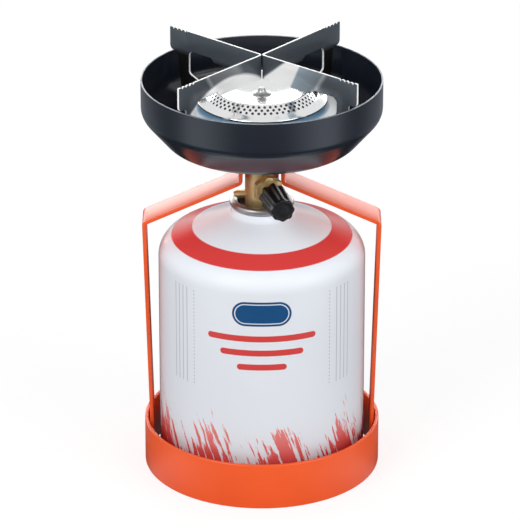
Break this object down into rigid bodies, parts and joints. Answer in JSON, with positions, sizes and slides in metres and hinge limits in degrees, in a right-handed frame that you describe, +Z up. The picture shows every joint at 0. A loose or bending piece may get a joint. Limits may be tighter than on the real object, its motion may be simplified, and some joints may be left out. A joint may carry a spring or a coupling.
{
  "type": "portable gas stove",
  "caption": "Portable camping gas stove: a strap frame on a base ring over a screw-on gas cartridge, with a side-knob valve, a bowl windshield, a burner and folded pan supports.",
  "frame": {"origin": "centre of the base ring's underside, on the surface that the stove stands on", "axes": "+Z up through the burner, -Y towards the front (the knob's side), +X to the viewer's right"},
  "size_m": [0.1246, 0.1246, 0.229],
  "materials": {
    "orange_enamel": "glossy orange powder coat",
    "black_enamel": "smooth black enamel, satin gloss",
    "brass": "turned",
    "polished_steel": "polished",
    "tinplate": "bright tinplate",
    "rubber": "matt",
    "black_plastic": "moulded, satin",
    "white_paint": "gloss white lacquer with a printed band and design",
    "grey_plastic": "moulded"
  },
  "bodies": {
    "cartridge": {"can_body": "white_paint", "can_bottom": "tinplate", "mounting_cup": "tinplate", "cup_gasket": "rubber", "valve_housing": "grey_plastic", "stem_gasket": "rubber", "stem_spring": "tinplate"},
    "stem": {"valve_stem": "tinplate"},
    "stove": {"base_ring": "orange_enamel", "frame_strap": "orange_enamel", "windshield_bowl": "black_enamel", "valve_body": "brass", "inlet_seal": "rubber", "depressor_pin": "polished_steel", "jet_nozzle": "brass", "side_plug": "brass", "gland_nut": "brass", "gland_seal": "rubber", "mixing_tube": "brass", "lock_washer": "polished_steel", "tube_lock_nut": "brass", "burner_dish": "polished_steel", "burner_cap": "polished_steel", "cap_rivet": "polished_steel", "pan_support_left": "polished_steel", "pan_support_right": "polished_steel"},
    "spindle": {"needle_spindle": "brass"},
    "knob": {"knob": "black_plastic"}
  },
  "joints": [
    {"name": "stove_lift", "type": "slide", "parent": "cartridge", "child": "stove", "axis": [0, 0, 1], "range_m": [0, 0.16]},
    {"name": "stem_travel", "type": "slide", "parent": "cartridge", "child": "stem", "axis": [0, 0, 1], "range_m": [-0.0015, 0], "stiffness_N_per_m": 800, "springref_m": 0.003, "deforming": ["stem_spring"]},
    {"name": "spindle_travel", "type": "slide", "parent": "stove", "child": "spindle", "axis": [0.2672, -0.9636, 0], "range_m": [0, 0.0015]},
    {"name": "knob_turn", "type": "hinge", "parent": "spindle", "child": "knob", "pos_m": [0, 0, 0.1589], "axis": [0.2672, -0.9636, 0], "range_deg": [0, 540]}
  ],
  "couplings": [
    {"joint": "knob_turn", "follows": "spindle_travel", "rad_per_m": 6283.2}
  ]
}
